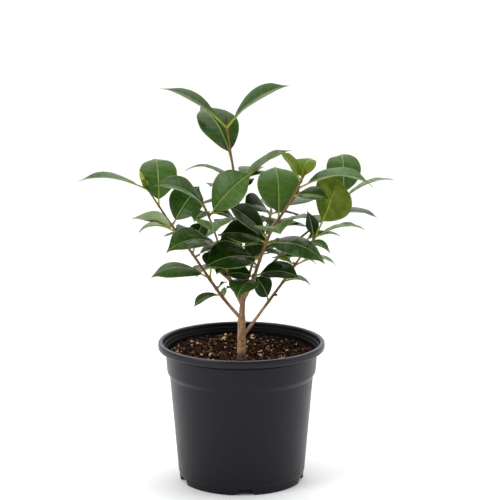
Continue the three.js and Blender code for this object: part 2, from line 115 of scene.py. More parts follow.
# Where each stands and how wide it is, in metres, and its power.
SOFT_LIGHTS = {
    "left": ((-1.5, -1.0, 1.3), 1.0, 22),
    "right": ((1.6, -0.2, 0.8), 0.7, 5.6),
    "top": ((0.2, 0.3, 1.8), 1.4, 16),
    "backdrop": ((0, 6, 3.5), 6, 130),
}
for name, (place, width, power) in SOFT_LIGHTS.items():
    lamp = bpy.data.lights.new(name, "AREA")
    lamp.size = width
    lamp.energy = power
    light = bpy.data.objects.new(name, lamp)
    light.location = place
    aim = Vector((0, 6, 0)) if name == "backdrop" else Vector((0, 0, 0.2))
    light.rotation_euler = (aim - Vector(place)).to_track_quat("-Z", "Y").to_euler()
    bpy.context.collection.objects.link(light)
print("lights:", ", ".join(SOFT_LIGHTS))

# %% Helper: keep a mesh as a piece
def as_object(bm, name, looks=()):
    """Keeps the mesh as an object with these materials."""
    mesh = bpy.data.meshes.new(name)
    bm.to_mesh(mesh)
    bm.free()
    for look in looks:
        mesh.materials.append(look)
    made = bpy.data.objects.new(name, mesh)
    bpy.context.collection.objects.link(made)
    return made


def soften(bm, bend):
    """Only edges that bend by more than this many degrees stay sharp."""
    for edge in bm.edges:
        edge.smooth = len(edge.link_faces) == 2 and edge.calc_face_angle() < math.radians(bend)


def as_piece(bm, name, looks, bend=None):
    """Keeps the mesh as a smooth piece of the plant."""
    if bend:
        soften(bm, bend)
    for face in bm.faces:
        face.smooth = True
    piece = as_object(bm, name, looks)
    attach(piece, "root")
    print(name, len(piece.data.polygons), "faces")
    return piece

# %% [markdown]
# ## Finishes
# Each finish is worked out from where a point lies on the piece. A small class lets the sums be
# written as sums: it holds a socket, and each sum on it adds a Math node.

# %% Helper: sums on sockets
class Wire:
    """A shader socket that can be added, subtracted and multiplied like a number."""

    def __init__(self, look, socket):
        self.look = look
        self.socket = socket

    def _math(self, operation, first, second=None):
        return self.look.node("ShaderNodeMath", {"operation": operation}, {0: first, 1: second})

    def __add__(self, other):
        return self._math("ADD", self, other)

    __radd__ = __add__

    def __mul__(self, other):
        return self._math("MULTIPLY", self, other)

    __rmul__ = __mul__

    def __sub__(self, other):
        return self._math("SUBTRACT", self, other)

    def __rsub__(self, other):
        return self._math("SUBTRACT", other, self)

    def __pow__(self, other):
        return self._math("POWER", self, other)

    def __abs__(self):
        return self._math("ABSOLUTE", self)

    def part(self):
        """What is left over after the whole number."""
        return self._math("FRACT", self)

    def step(self, low, high):
        """0 below low, 1 above high, and smooth between."""
        return self.look.node(
            "ShaderNodeMapRange", {"interpolation_type": "SMOOTHSTEP"},
            {"Value": self, "From Min": low, "From Max": high},
        )


# %% Helper: a finish
class Finish:
    """One material. node() adds a node: its settings first, then its sockets."""

    def __init__(self, name, roughness, **fixed):
        self.material = bpy.data.materials.new(name)
        self.material.use_nodes = True
        self.tree = self.material.node_tree
        self.shader = self.tree.nodes["Principled BSDF"]
        self.place = self.node("ShaderNodeTexCoord", {}, {}, "Object")
        self.set("Roughness", roughness)
        for socket, value in fixed.items():
            self.set(socket.replace("_", " "), value)

    def node(self, kind, settings, sockets, output=0):
        made = self.tree.nodes.new(kind)
        for name, value in settings.items():
            setattr(made, name, value)
        for key, value in sockets.items():
            self.feed(made.inputs[key], value)
        return Wire(self, made.outputs[output])

    def feed(self, socket, value):
        if isinstance(value, Wire):
            self.tree.links.new(value.socket, socket)
        elif value is not None:
            socket.default_value = value

    def set(self, socket, value):
        self.feed(self.shader.inputs[socket], value)

    def height(self):
        """How far up a point lies, in metres."""
        return self.node("ShaderNodeSeparateXYZ", {}, {"Vector": self.place}, "Z")

    def noise(self, size, detail=3, roughness=0.55, stretch=(1, 1, 1)):
        """A soft pattern from 0 to 1, whose blots are about this many millimetres wide."""
        scaled = self.node(
            "ShaderNodeMapping", {}, {"Vector": self.place, "Scale": [1 / (size * MM * s) for s in stretch]})
        return self.node(
            "ShaderNodeTexNoise", {},
            {"Vector": scaled, "Scale": 1.0, "Detail": detail, "Roughness": roughness})

    def mix(self, share, first, second):
        """The first colour where the share is 0, the second where it is 1."""
        made = self.tree.nodes.new("ShaderNodeMix")
        made.data_type = "RGBA"
        sockets = [s for s in made.inputs if s.type == "RGBA"]
        self.feed(made.inputs[0], share)
        for socket, value in zip(sockets, (first, second)):
            self.feed(socket, value if isinstance(value, Wire) else (*value, 1))
        return Wire(self, next(s for s in made.outputs if s.type == "RGBA"))

    def bump(self, height, depth):
        """Relief of this depth in millimetres."""
        self.set("Normal", self.node(
            "ShaderNodeBump", {}, {"Height": height, "Distance": depth * MM, "Strength": 1.0}))


def shade(red, green, blue):
    """A screen colour from 0 to 255, as the light it stands for."""
    return tuple(
        v / 12.92 if v <= 0.04045 else ((v + 0.055) / 1.055) ** 2.4
        for v in (red / 255, green / 255, blue / 255))


# %% Floor
def pale_floor():
    look = Finish("pale_floor", 0.9)
    look.set("Base Color", look.mix(look.noise(900), (0.93, 0.93, 0.93), (0.96, 0.96, 0.96)))
    bm = bmesh.new()
    bmesh.ops.create_grid(bm, x_segments=2, y_segments=2, size=14)
    as_object(bm, "floor", [look.material])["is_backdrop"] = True


pale_floor()

# %% [markdown]
# ## The pot
# A blow-moulded nursery pot is one thin black wall: a tapered body, a step out to a collar, and a
# lip that is rolled over so that it can be gripped. Its shape is the same all the way round, so
# half of its section is drawn as a chain of edges and turned about the upright axis. The foot
# notches, which let water out from below, are cut afterwards.

# %% Helper: turned pieces
def draw_chain(bm, places):
    """A chain of edges through these places, each a radius and a height in millimetres."""
    corners = [bm.verts.new((radius * MM, 0, height * MM)) for radius, height in places]
    for first, second in zip(corners, corners[1:]):
        bm.edges.new((first, second))
    return corners


def turn_round(bm, steps):
    """Spins all that is drawn once about the upright axis and joins the seam and the poles."""
    bmesh.ops.spin(
        bm, geom=bm.verts[:] + bm.edges[:], axis=(0, 0, 1), cent=(0, 0, 0), dvec=(0, 0, 0),
        angle=2 * math.pi, steps=steps, use_merge=True, use_duplicate=False)
    bmesh.ops.remove_doubles(bm, verts=bm.verts[:], dist=1e-6)


# %% Pot: half of its section
# Radius, height and rounding of each corner in millimetres, from the middle of the underside up
# the outside, over the lip and down the inside to the middle of the floor.
POT_SECTION = [
    (0, 0, 0), (38, 0, 0.6), (40, 6, 0.6), (57.8, 6, 0.6), (59.6, 0, 0.4), (62.8, 0, 0.4), (63.6, 0.9, 0.5),
    (64.1, 8.2, 0.3), (64.9, 9.4, 0.5), (73.3, 108.8, 0.2), (76, 113.4, 1.6), (77.4, 133.7, 0),
    (77.6, 135.5, 0.6), (83.6, 136.5, 0.8), (85, 137.9, 1), (85, 143.1, 1.2), (84, 144.5, 0.6),
    (81.3, 144.5, 0.6), (80.3, 143.5, 0.5), (79.6, 140.1, 0.3), (77.6, 139.5, 0.4), (77.1, 137.3, 0.4),
    (75.8, 136.3, 0.4), (74.2, 113.1, 1), (71.4, 108.4, 1), (62.9, 8, 2), (0, 8, 0),
]
POT_TURNS = 144


def turned_pot():
    bm = bmesh.new()
    corners = draw_chain(bm, [(radius, height) for radius, height, _ in POT_SECTION])
    for corner, (_, _, round_by) in zip(corners, POT_SECTION):
        if round_by:
            bmesh.ops.bevel(
                bm, geom=[corner], offset=round_by * MM, offset_type="OFFSET", affect="VERTICES",
                segments=3, profile=0.5, material=-1)
    turn_round(bm, POT_TURNS)
    bmesh.ops.recalc_face_normals(bm, faces=bm.faces[:])
    return bm


# %% Pot: notches in the foot
NOTCHES = 5
NOTCH_ANGLE = 3
NOTCH_FOOT = 22
NOTCH_TOP = 16
NOTCH_HEIGHT = 5.6
NOTCH_LENGTH = 24
NOTCH_MIDDLE = -58


def cut_away(piece, cutter):
    """Cuts one mesh out of another and keeps the result."""
    tool = piece.modifiers.new("cut", "BOOLEAN")
    tool.operation = "DIFFERENCE"
    tool.object = cutter
    tool.solver = "EXACT"
    depsgraph = bpy.context.evaluated_depsgraph_get()
    cut = bpy.data.meshes.new_from_object(piece.evaluated_get(depsgraph))
    piece.modifiers.clear()
    piece.data = cut
    bpy.data.objects.remove(cutter)


def notch_cutter():
    """Blocks, narrower at the top, that reach through the foot ring."""
    bm = bmesh.new()
    for k in range(NOTCHES):
        block = bmesh.ops.create_cube(bm, size=1)["verts"]
        for corner in block:
            high = corner.co.z > 0
            corner.co.x *= (NOTCH_TOP if high else NOTCH_FOOT) * MM
            corner.co.y = (corner.co.y * NOTCH_LENGTH + NOTCH_MIDDLE) * MM
            corner.co.z = (NOTCH_HEIGHT if high else -1) * MM
        turn = Matrix.Rotation(math.radians(NOTCH_ANGLE + 360 / NOTCHES * k), 4, "Z")
        bmesh.ops.transform(bm, matrix=turn, verts=block)
    return as_object(bm, "notches")


# %% Finish: black plastic
# Coloured with soot and a little scuffed: satin rather than glossy and slightly cool, with fine
# grain, faint upright flow marks and a trace of dust. The lip has a painted sheen, pale and cool,
# and a painted highlight along its crest. The wall above the compost and the groove under the lip
# stay dull and are painted darker, as painted shade.
LIP_SHEEN_HEIGHTS = (0.1369, 0.1379)
CREST_HIGHLIGHT_HEIGHTS = (0.1438, 0.1444)


def black_plastic():
    look = Finish("black_plastic", 0.36, Specular_IOR_Level=0.25, Specular_Tint=(0.9, 0.9, 1, 1))
    dust = look.noise(14, detail=5).step(0.5, 0.8)
    worn = look.noise(2.2, detail=4).step(0.62, 0.75)
    flow = look.noise(3, detail=2, stretch=(1, 1, 40))
    base = look.mix(flow, shade(9, 8, 12), shade(13, 12, 17))
    base = look.mix(dust * 0.04, base, shade(80, 78, 78))
    base = look.mix(worn * 0.03, base, shade(110, 106, 102))
    height = look.height()
    # Painted sheen: the lip is mixed towards a pale cool grey, standing in for the overhead light's
    # reflection.
    base = look.mix(height.step(*LIP_SHEEN_HEIGHTS) * 0.22, base, shade(52, 52, 58))
    # Painted highlight: a pale grey line along the crest of the lip.
    look.set("Base Color", look.mix(height.step(*CREST_HIGHLIGHT_HEIGHTS) * 0.5, base, shade(96, 96, 104)))
    look.set("Roughness", 0.33 + 0.1 * dust + 0.06 * flow + 0.06 * worn)
    look.bump(look.noise(0.7, detail=2) + 0.7 * flow + 0.5 * worn, 0.035)
    return look.material


def dull_plastic_painted_shade():
    look = Finish("pot_painted_shade", 0.6, Specular_IOR_Level=0.08)
    crumbs = look.noise(1.6, detail=5).step(0.6, 0.75)
    # Painted shade: near-black, less shiny plastic on the wall above the compost and in the groove under the
    # lip; the brown flecks are compost crumbs.
    look.set("Base Color", look.mix(crumbs * 0.2, shade(7, 7, 9), shade(44, 32, 24)))
    look.set("Roughness", 0.5 + 0.3 * crumbs)
    look.bump(crumbs, 0.15)
    return look.material


INNER_WALL = (100 * MM, 143 * MM)
LIP_GROOVE = (133.7 * MM, 136.4 * MM)
SHARP_BEND = 32


def mark_painted_shade(bm):
    """Gives the wall above the compost and the groove under the lip the dull finish, darker as painted shade.
    """
    for face in bm.faces:
        middle = face.calc_center_median()
        outward = Vector((middle.x, middle.y, 0))
        inner = INNER_WALL[0] < middle.z < INNER_WALL[1] and face.normal.dot(outward) < 0
        if inner or LIP_GROOVE[0] < middle.z < LIP_GROOVE[1]:
            face.material_index = 1
    return bm


pot = as_piece(mark_painted_shade(turned_pot()), "pot_shell", [black_plastic(), dull_plastic_painted_shade()])
cut_away(pot, notch_cutter())
bm = bmesh.new()
bm.from_mesh(pot.data)
soften(bm, SHARP_BEND)
bm.to_mesh(pot.data)
bm.free()
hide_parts("pot")
print("pot faces after the notches:", len(pot.data.polygons))

# %% [markdown]
# ## The compost
# Potting compost is dark peat with bark chips, wood crumbs, a few straws and white grains of
# perlite. The bed is a fan of rings that a noise lifts into lumps. The chips and grains are each
# a small block or ball pushed out of shape, strewn over the bed at random and joined by kind.

# %% Compost: the bed
BED_HEIGHT = 125.2
BED_RISE = 7.5
BED_RADIUS = 74.2
BED_UNDERSIDE = 116
BED_TURNS = 120
WALL_RADIUS = 76


def soil_height(x, y):
    """Height of the bed in millimetres: a lumpy bowl, level where it meets the trunk."""
    radius = math.hypot(x, y)
    bowl = BED_RISE * (radius / WALL_RADIUS) ** 2.2
    lumps = 3 * noise.noise(Vector((x, y, 7)) / 12) + 2.6 * noise.noise(Vector((x, y, 3)) / 4.5)
    crumbs = 1.3 * noise.noise(Vector((x, y, 1)) / 1.8)
    near_trunk = min(1, max(0, (radius - 5) / 12))
    return BED_HEIGHT + bowl + (lumps + crumbs) * near_trunk * min(1, (78 - radius) / 8)


def soil_bed():
    bm = bmesh.new()
    rings = [0, 2, 4, 6] + [6 + 1.7 * k for k in range(1, 40)] + [BED_RADIUS]
    draw_chain(bm, [(radius, 120) for radius in rings])
    turn_round(bm, BED_TURNS)
    rim = [e for e in bm.edges if len(e.link_faces) == 1]
    skirt = bmesh.ops.extrude_edge_only(bm, edges=rim)["geom"]
    low = {g for g in skirt if isinstance(g, bmesh.types.BMVert)}
    for corner in bm.verts:
        if corner in low:
            corner.co.z = BED_UNDERSIDE * MM
        else:
            corner.co.z = soil_height(corner.co.x / MM, corner.co.y / MM) * MM
    bmesh.ops.holes_fill(bm, edges=[e for e in bm.edges if len(e.link_faces) == 1])
    bmesh.ops.recalc_face_normals(bm, faces=bm.faces[:])
    return bm


# %% Finish: peat
def peat():
    look = Finish("peat", 0.95, Specular_IOR_Level=0.1)
    grain = look.noise(1.3, detail=6, roughness=0.7)
    patch = look.noise(9, detail=3)
    base = look.mix(grain.step(0.35, 0.65), shade(8, 5, 4), shade(44, 27, 18))
    look.set("Base Color", look.mix(patch.step(0.45, 0.7) * 0.5, base, shade(20, 14, 10)))
    look.set("Roughness", 0.85 + 0.12 * grain)
    look.bump(grain, 0.9)
    return look.material


bed = as_piece(soil_bed(), "compost_bed", [peat()])
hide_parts("compost")


# %% Compost: chips, straws and grains
STREWN_FROM = 9
STREWN_TO = 72
SKEW = 0.22
CHAMFER = 0.16


def strewn():
    """A random place on the bed, evenly spread between the trunk and the wall."""
    radius = math.sqrt(random.uniform((STREWN_FROM / STREWN_TO) ** 2, 1)) * STREWN_TO
    angle = random.uniform(0, 2 * math.pi)
    x, y = radius * math.cos(angle), radius * math.sin(angle)
    return Vector((x, y, soil_height(x, y)))


def scatter_blocks(count, lengths, widths, heights, tilt, dealt):
    """Small blocks, chamfered and pushed out of square, lying on the bed."""
    bm = bmesh.new()
    for _ in range(count):
        corners = bmesh.ops.create_cube(bm, size=1)["verts"]
        for corner in corners:
            corner.co += Vector([random.uniform(-SKEW, SKEW) for _ in range(3)])
        faces = list({f for c in corners for f in c.link_faces})
        look = random.choice(dealt)
        for face in faces:
            face.material_index = look
        size = [random.uniform(*limits) * MM for limits in (lengths, widths, heights)]
        turn = Matrix.Rotation(random.uniform(0, 2 * math.pi), 4, "Z") @ Matrix.Rotation(
            random.uniform(-tilt, tilt), 4, "Y") @ Matrix.Rotation(random.uniform(-tilt, tilt), 4, "X")
        place = strewn() * MM
        place.z += size[2] * 0.2
        bmesh.ops.transform(
            bm, matrix=Matrix.Translation(place) @ turn @ Matrix.Diagonal((*size, 1)), verts=corners)
    edges = bm.edges[:]
    bmesh.ops.bevel(
        bm, geom=edges, offset=CHAMFER * MM, offset_type="OFFSET", affect="EDGES", segments=1,
        profile=0.5, material=-1, clamp_overlap=True)
    return bm


def scatter_grains(count, radii):
    bm = bmesh.new()
    for _ in range(count):
        radius = random.uniform(*radii) * MM
        grain = bmesh.ops.create_icosphere(bm, subdivisions=1, radius=radius)["verts"]
        for corner in grain:
            corner.co *= random.uniform(0.72, 1.15)
        bmesh.ops.translate(bm, vec=strewn() * MM + Vector((0, 0, radius * 0.35)), verts=grain)
    return bm


def chip_finish(name, dark, pale):
    look = Finish(name, 0.85, Specular_IOR_Level=0.15)
    grain = look.noise(1.1, detail=4)
    look.set("Base Color", look.mix(grain, shade(*dark), shade(*pale)))
    look.set("Roughness", 0.78 + 0.15 * grain)
    look.bump(grain, 0.3)
    return look.material


chip_looks = [
    chip_finish("dark_peat_lump", (6, 4, 3), (24, 15, 10)),
    chip_finish("dark_bark_chip", (38, 21, 12), (80, 47, 29)),
    chip_finish("brown_bark_chip", (88, 55, 33), (148, 103, 65)),
]
tan = chip_finish("tan_wood_chip", (184, 140, 88), (248, 218, 166))
straw = chip_finish("dry_straw", (104, 72, 42), (160, 122, 78))
white = chip_finish("perlite_white", (196, 192, 184), (238, 236, 230))

# Name, how many, from which to which length, width and height, tilt in radians, how the finishes
# are dealt out, and the finishes.
BLOCKS = [
    ("bark_chips", 2300, (0.9, 4.2), (0.8, 2.6), (0.8, 2.6), 0.8, (0, 0, 0, 1, 1, 1, 2), chip_looks),
    ("tan_chips", 46, (2.8, 6.2), (1.8, 3.4), (1, 2), 0.4, (0,), [tan]),
    ("wood_crumbs", 260, (0.8, 2.2), (0.7, 1.6), (0.6, 1.3), 0.5, (0,), [tan]),
    ("straws", 46, (5, 12), (0.4, 0.8), (0.3, 0.6), 0.25, (0,), [straw]),
]
litter = [as_piece(scatter_blocks(*sizes), name, looks) for name, *sizes, looks in BLOCKS]
litter.append(as_piece(scatter_grains(16, (0.6, 1.3)), "perlite", [white]))

# %% [markdown]
# ## The stems
# A camellia branches from its leaf joints, and each limb here is one smooth line through a few
# places read off the plant, getting thinner towards its tip. The line is the same as in the
# model, so the bark lies over the solid trunk and boughs, and the leaves grow from where they
# do there.

# %% Stems: the lines of the limbs
# Places on each limb (right, back, up, in millimetres), its radius at the foot and at the tip,
# the height where its bare stretch ends, and the lean of the bud at its tip. Sprays fill the side
# that faces away: how many, from which height to which, the way they face in degrees from the
# right, how far they swing to either side of it, and the seed of their rule.
LIMBS = {
    "left": {
        "path": [(-1, 0, 168), (-21, -3, 193), (-49, -8, 236), (-68, -12, 264), (-94, -20, 306)],
        "radii": [1.85, 0.8], "bareTo": 185, "bud": [-7, -3, 18],
    },
    "right_low": {
        "path": [(2, 0, 150), (14, 2, 166), (42, 10, 203), (57, 6, 226), (74, -10, 254)],
        "radii": [1.9, 0.8], "bareTo": 180, "bud": [1, 0, 6],
    },
    "right_front": {
        "path": [(1.5, 0, 186), (11, -8, 208), (28, -24, 259), (48, -36, 294), (61, -45, 321)],
        "radii": [2.1, 0.9], "bareTo": 205, "bud": [2, 0, 7],
    },
    "leader": {
        "path": [(1, 0, 188), (0, 3, 211), (-2, 9, 267), (-4.5, 11, 292), (-8.5, 12, 322), (-15.3, 14, 365)],
        "radii": [2, 0.9], "bareTo": 234, "bud": [0, 0, 9],
        "sprays": {"count": 4, "from": 240, "to": 305, "facing": 95, "swing": 40, "seed": 267},
    },
    "mid_left": {
        "path": [(0, -1, 188), (-6, -2, 199), (-15, -7, 221), (-28, -15, 264), (-36, -19, 285)],
        "radii": [1.5, 0.8], "bareTo": 188, "bud": [-2, 0, 6],
    },
    "back_right": {
        "path": [(1, 1, 190), (14, 22, 228), (30, 40, 267)],
        "radii": [1.5, 0.8], "bareTo": 206, "bud": [1, 1, 6],
        "sprays": {"count": 5, "from": 220, "to": 264, "facing": 60, "swing": 40, "seed": 2231},
    },
    "right_back": {
        "path": [(2, 1, 190), (38, 26, 226), (76, 44, 256), (106, 52, 284)],
        "radii": [1.6, 0.8], "bareTo": 216, "bud": [4, 1, 5],
        "sprays": {"count": 5, "from": 222, "to": 276, "facing": 60, "swing": 50, "seed": 601},
    },
    "back_left": {
        "path": [(0, 1, 182), (-14, 20, 206), (-30, 40, 238)],
        "radii": [1.6, 0.8], "bareTo": 202, "bud": [-2, 2, 5],
        "sprays": {"count": 5, "from": 204, "to": 236, "facing": 120, "swing": 38, "seed": 582},
    },
}


def line_at(path, share):
    """A point on the smooth line through these places, from 0 at its foot to 1 at its tip."""
    p = [Vector(q) for q in path]
    p = [2 * p[0] - p[1]] + p + [2 * p[-1] - p[-2]]
    scaled = min(max(share, 0), 1) * (len(path) - 1)
    i = min(int(scaled), len(path) - 2)
    u = scaled - i
    a, b, c, d = p[i:i + 4]
    return 0.5 * (
        2 * b + (c - a) * u + (2 * a - 5 * b + 4 * c - d) * u ** 2 + (3 * b - 3 * c + d - a) * u ** 3)


def share_at(path, height):
    """How far along its line a limb reaches this height."""
    low, high = 0, 1
    for _ in range(40):
        middle = (low + high) / 2
        if line_at(path, middle).z < height:
            low = middle
        else:
            high = middle
    return (low + high) / 2


# %% Helper: a round stem
def grow_stem(bm, centres, radii, sides, look, relief=None):
    """Wraps a flat grid round a line of centres and closes its two ends."""
    rows = len(centres) - 1
    grid = bmesh.ops.create_grid(bm, x_segments=sides, y_segments=rows, size=0.5)["verts"]
    places = {c: (round((c.co.x + 0.5) * sides), round((c.co.y + 0.5) * rows)) for c in grid}
    frames = []
    along = (centres[1] - centres[0]).normalized()
    across = along.cross(Vector((0.3, 1, 0.1))).normalized()
    for i, centre in enumerate(centres):
        ahead = (centres[min(i + 1, rows)] - centres[max(i - 1, 0)]).normalized()
        across = (across - ahead * across.dot(ahead)).normalized()
        frames.append((centre, across, ahead.cross(across)))
    for corner, (column, row) in places.items():
        centre, side, third = frames[row]
        angle = 2 * math.pi * (column % sides) / sides
        outward = side * math.cos(angle) + third * math.sin(angle)
        radius = radii[row]
        if relief:
            radius += relief(centre + outward * radius)
        corner.co = (centre + outward * radius) * MM
    faces = {f for c in grid for f in c.link_faces}
    for face in faces:
        face.material_index = look
    bmesh.ops.remove_doubles(bm, verts=grid, dist=1e-7)
    faces = [f for f in faces if f.is_valid]
    ends = list({e for f in faces for e in f.edges if len(e.link_faces) == 1})
    caps = bmesh.ops.holes_fill(bm, edges=ends)["faces"]
    for cap in caps:
        cap.material_index = look
    bmesh.ops.recalc_face_normals(bm, faces=faces + caps)


def swellings(places, width, height):
    """A relief that thickens a stem near each of these heights."""
    def relief(height_here):
        return sum(height * math.exp(-(((height_here - z) / width) ** 2)) for z in places)
    return relief


# %% [markdown]
# ## The bark
# The trunk's bark is thin, tan and finely cracked, with small corky dots and the ring of an old
# cut. A bump in the finish would leave its outline smooth, so the mesh itself carries the ridges,
# and the finish adds only the finest grain.

# %% Bark: trunk
# Middle of the trunk (right, back, up) and its radius, from below the compost to the fork.
TRUNK = [
    (0, 0, 124, 5.2), (0, 0, 125.3, 4.9), (0, 0, 127.5, 4.4), (0, 0, 133, 4.2), (0, 0, 148, 4.1),
    (0.2, 0, 161, 3.9), (0.2, 0, 164.5, 4.2), (0.3, 0, 168, 3.7), (0.5, 0, 174, 3), (0.9, 0, 182, 2.8),
    (1.3, 0, 189, 3.1), (1.5, 0, 193, 2.5),
]
TRUNK_STEP = 0.5
TRUNK_SIDES = 44
SMOOTH_TIP = 1
STAINED_FOOT = (0.129, 0.136)
LEAF_SHADE_HEIGHTS = (0.15, 0.195)


def trunk_section(height):
    """Middle and radius of the trunk at a height."""
    low, high = next(pair for pair in zip(TRUNK, TRUNK[1:]) if height <= pair[1][2])
    share = (height - low[2]) / (high[2] - low[2])
    share = share * share * (3 - 2 * share)
    x, radius = (low[k] + (high[k] - low[k]) * share for k in (0, 3))
    return Vector((x, 0, height)), radius


def bark_relief(point):
    """Upright cracks and corky dots, in millimetres."""
    stretched = Vector((point.x / 1.4, point.y / 1.4, point.z / 5))
    cracks = 0.3 * noise.noise(stretched) + 0.16 * noise.noise(stretched * 2.3)
    dots = 0.12 * max(0, noise.noise(point / 0.9) - 0.2)
    return cracks + dots


def bark(name, dark, tan, pale, roughness=0.8):
    """Tan streaks, pale flecks and dark pits, darker where compost stains it, and darker towards the fork and
    above as painted shade under the leaves.
    """
    look = Finish(name, roughness)
    streak = look.noise(1.5, detail=5, stretch=(1, 1, 2))
    fleck = look.noise(0.9, detail=3, roughness=0.7)
    pits = look.noise(0.8, detail=2, stretch=(1, 1, 1.4)).step(0.56, 0.66)
    height = look.height()
    base = look.mix(streak.step(0.3, 0.7), shade(*dark), shade(*tan))
    base = look.mix(fleck.step(0.58, 0.72) * 0.6, base, shade(*pale))
    base = look.mix(pits * 0.55, base, shade(*[v * 0.55 for v in dark]))
    # Painted shade: darker from below the fork upwards, standing in for the shade of the leaves.
    base = look.mix(height.step(*LEAF_SHADE_HEIGHTS) * 0.4, base, shade(*[v * 0.7 for v in dark]))
    look.set("Base Color", look.mix((1 - height.step(*STAINED_FOOT)) * 0.75, base, shade(34, 23, 15)))
    look.set("Roughness", roughness - 0.08 + 0.16 * fleck)
    look.bump(streak + 0.6 * fleck, 0.5)
    return look.material


bark_looks = [
    bark("trunk_bark", (134, 96, 64), (218, 172, 126), (246, 220, 184)),
    bark("bough_bark", (136, 100, 66), (224, 182, 134), (242, 216, 178)),
    bark("young_bark", (110, 69, 34), (194, 136, 80), (216, 170, 112), 0.6),
    bark("green_shoot", (120, 70, 40), (178, 122, 80), (180, 154, 96), 0.5),
]

bm = bmesh.new()
foot, tip = TRUNK[0][2], TRUNK[-1][2]
rings = int((tip - foot) / TRUNK_STEP) + 1
centres, radii = zip(*[trunk_section(foot + TRUNK_STEP * k) for k in range(rings)])
grow_stem(
    bm, centres, radii, TRUNK_SIDES, 0, lambda p: bark_relief(p) if p.z < tip - SMOOTH_TIP else 0)
print("rings up the trunk:", rings)

# %% Leaves: one row each
# Each look is the number of a finish in leaf_looks, which are made below with the leaves. A row
# is a limb, the height of the joint, how far the tip reaches right, back and up from it, width,
# turn of the upper side to the front, arch, fold along the midrib (degrees), length of the stalk
# and, where it isn't dealt at random, the look.
DARK_TONE_AND_SHADE, DEEP, MID, YOUNG, UNDER, YOUNG_UNDER, MIDRIB, EDGE, STALK, BUD, BROWN_BUD, DULL = range(12)
LEAVES = [
    ("leader", 361, -67, 6, 39, 23, 14, 46, 14, 15, DEEP),
    ("leader", 361, 63, -12, 44, 35, 20, 48, 12, 13, DEEP),
    ("leader", 321, -34, 34, 57, 45, 12, 70, 8, 17, DEEP),
    ("leader", 295, 56, 20, 41, 31, -32, 44, 12, 7, MID),
    ("leader", 293, -53, 15, 22, 20, -10, 100, 14, 7),
    ("leader", 240, 30, -8, 3, 37, 40, 55, 10, 5),
    ("leader", 243, -22, -5, 2, 26, 24, 50, 10, 4),
    ("mid_left", 276, 44, -4, 46, 42, 52, 40, 10, 9, MID),
    ("mid_left", 284, -50, -22, 27, 35, 24, 70, 14, 7),
    ("mid_left", 279, 27, 18, -9, 29, 24, 60, 10, 7),
    ("mid_left", 282, -12, -16, -8, 18, 10, 60, 8, 3),
    ("mid_left", 268, 2, -38, -1, 41, 0, 60, 17, 7, MID),
    ("mid_left", 247, -52, -27, -4, 36, 22, 80, 10, 7, DEEP),
    ("mid_left", 240, -22, 6, -5, 22, 10, 60, 10, 4),
    ("mid_left", 221, -10, -10, -4, 12, 0, 50, 10, 2),
    ("mid_left", 200, -9, -6, 0, 7, 0, 50, 10, 2),
    ("left", 236, 12, 13, 32, 24, 10, 40, 10, 9),
    ("left", 304, -69, -5, 9, 22, 4, 48, 14, 12, MID),
    ("left", 287, -4, 28, 43, 38, 0, 102, 8, 7, MID),
    ("left", 266, 27, 19, 37, 36, 38, 50, 8, 7, DEEP),
    ("left", 264, -41, -12, 11, 32, -28, 45, 10, 4, MID),
    ("left", 259, -39, 13, -3, 22, -14, 75, 12, 7),
    ("left", 261, 15, 14, -2, 20, 0, 50, 10, 3),
    ("left", 210, -59, -12, 3, 36, 14, 88, -8, 10, DULL),
    ("left", 209, 5, 12, 28, 22, 0, 50, 10, 13),
    ("left", 193, -27, -6, -12, 15, 16, 78, 10, 4, DEEP),
    ("left", 189, 1, -4, 13, 6, 0, 40, 10, 2),
    ("left", 199, 11, -3, 8, 8, 10, 50, 10, 2),
    ("right_front", 250, -46, -12, 11, 36, 30, 60, 8, 7),
    ("right_front", 254, -40, 2, 34, 36, 24, 40, 8, 7),
    ("right_front", 232, -55, -26, -3, 46, 25, 65, 8, 7),
    ("right_front", 249, 59, -12, -18, 37, 20, 80, -6, 5, DEEP),
    ("right_front", 238, 20, 15, -4, 22, 10, 40, 8, 7),
    ("right_front", 214, 45, -10, 0, 34, 20, 65, 8, 7),
    ("right_front", 210, -16, -30, -12, 31, 4, 60, 8, 4, DEEP),
    ("right_front", 213, -28, -3, 3, 24, 30, 50, 10, 3),
    ("right_front", 264, 8, -37, 3, 44, 12, 60, 17, 7, MID),
    ("right_front", 276, -3, 26, 48, 43, 0, 100, 8, 8, MID),
    ("right_front", 301, 35, -9, -2, 25, 22, 46, 8, 4, DEEP),
    ("right_front", 289, 21, 60, 0, 33, 20, 40, 12, 4),
    ("right_front", 308, 75, 5, 1, 30, 10, 76, 14, 12, MID),
    ("right_front", 316, -21, -4, 30, 22, 30, 30, 12, 6, YOUNG),
    ("right_front", 316, 10, 14, 21, 29, 0, 70, 10, 5, YOUNG),
    ("right_low", 184, -14, -4, 27, 25, 62, 45, 8, 6),
    ("right_low", 204, 28, -6, -4, 24, -25, 80, 8, 8, MID),
    ("right_low", 222, -24, 4, 6, 22, 0, 40, 8, 4, YOUNG),
    ("right_low", 221, 43, 0, 0, 26, -20, 75, 8, 7, MID),
    ("right_low", 253, 20, -28, 69, 48, -75, 40, 6, 20, YOUNG),
    ("right_low", 253, 52, -3, 8, 26, -8, 64, 12, 9, MID),
    ("right_low", 251, -6, 6, 28, 18, 0, 30, 8, 4),
    ("right_back", 283, 52, 6, 18, 28, -12, 45, 12, 7, MID),
    ("right_back", 283, -1, 22, 42, 36, 0, 116, 8, 7, MID),
    ("back_right", 266, -28, -28, 13, 36, 30, 84, 10, 7),
    ("back_right", 212, -32, 7, 0, 30, 28, 55, 10, 3),
    ("back_left", 206, 23, 9, 3, 25, 10, 50, 10, 3),
]

# Stubs where a side shoot was cut: limb, height, and reach to the right, back and up.
SPURS = [
    ("left", 233, 5, -2, 3), ("right_low", 190, 4, -2, 1), ("right_front", 224, -3, -4, 5),
]
print(len(LEAVES), "leaves placed by hand on", len(LIMBS), "limbs")

